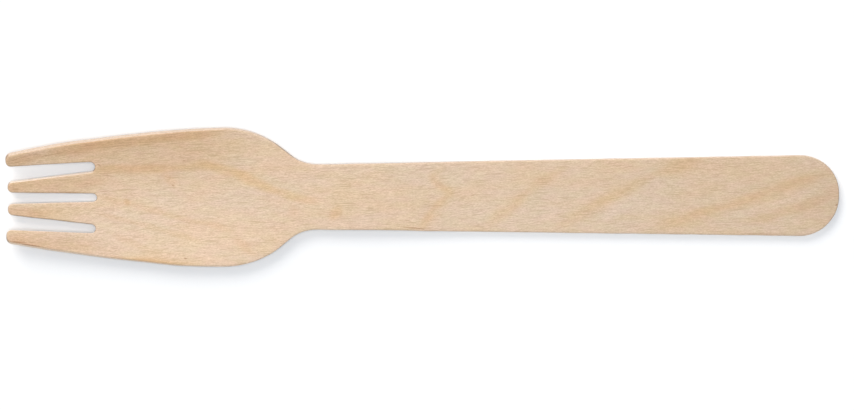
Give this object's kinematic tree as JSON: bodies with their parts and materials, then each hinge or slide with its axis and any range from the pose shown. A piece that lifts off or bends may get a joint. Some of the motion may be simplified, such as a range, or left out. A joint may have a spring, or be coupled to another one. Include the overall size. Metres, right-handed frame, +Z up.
{
  "type": "wooden fork",
  "caption": "Disposable wooden fork stamped from birch veneer, with a shallow dished head, slim round-tipped tines and a flat, slightly flared handle.",
  "frame": {"origin": "centre of the bounding box's base, on the plane that the fork rests on", "axes": "+X along the fork from the tine tips towards the handle end, +Z up out of the dished face, +Y across"},
  "size_m": [0.16, 0.0268, 0.0039],
  "materials": {
    "birch_veneer": "bare, smooth-pressed birch veneer, matt"
  },
  "bodies": {
    "root": {"fork": "birch_veneer"}
  },
  "joints": []
}
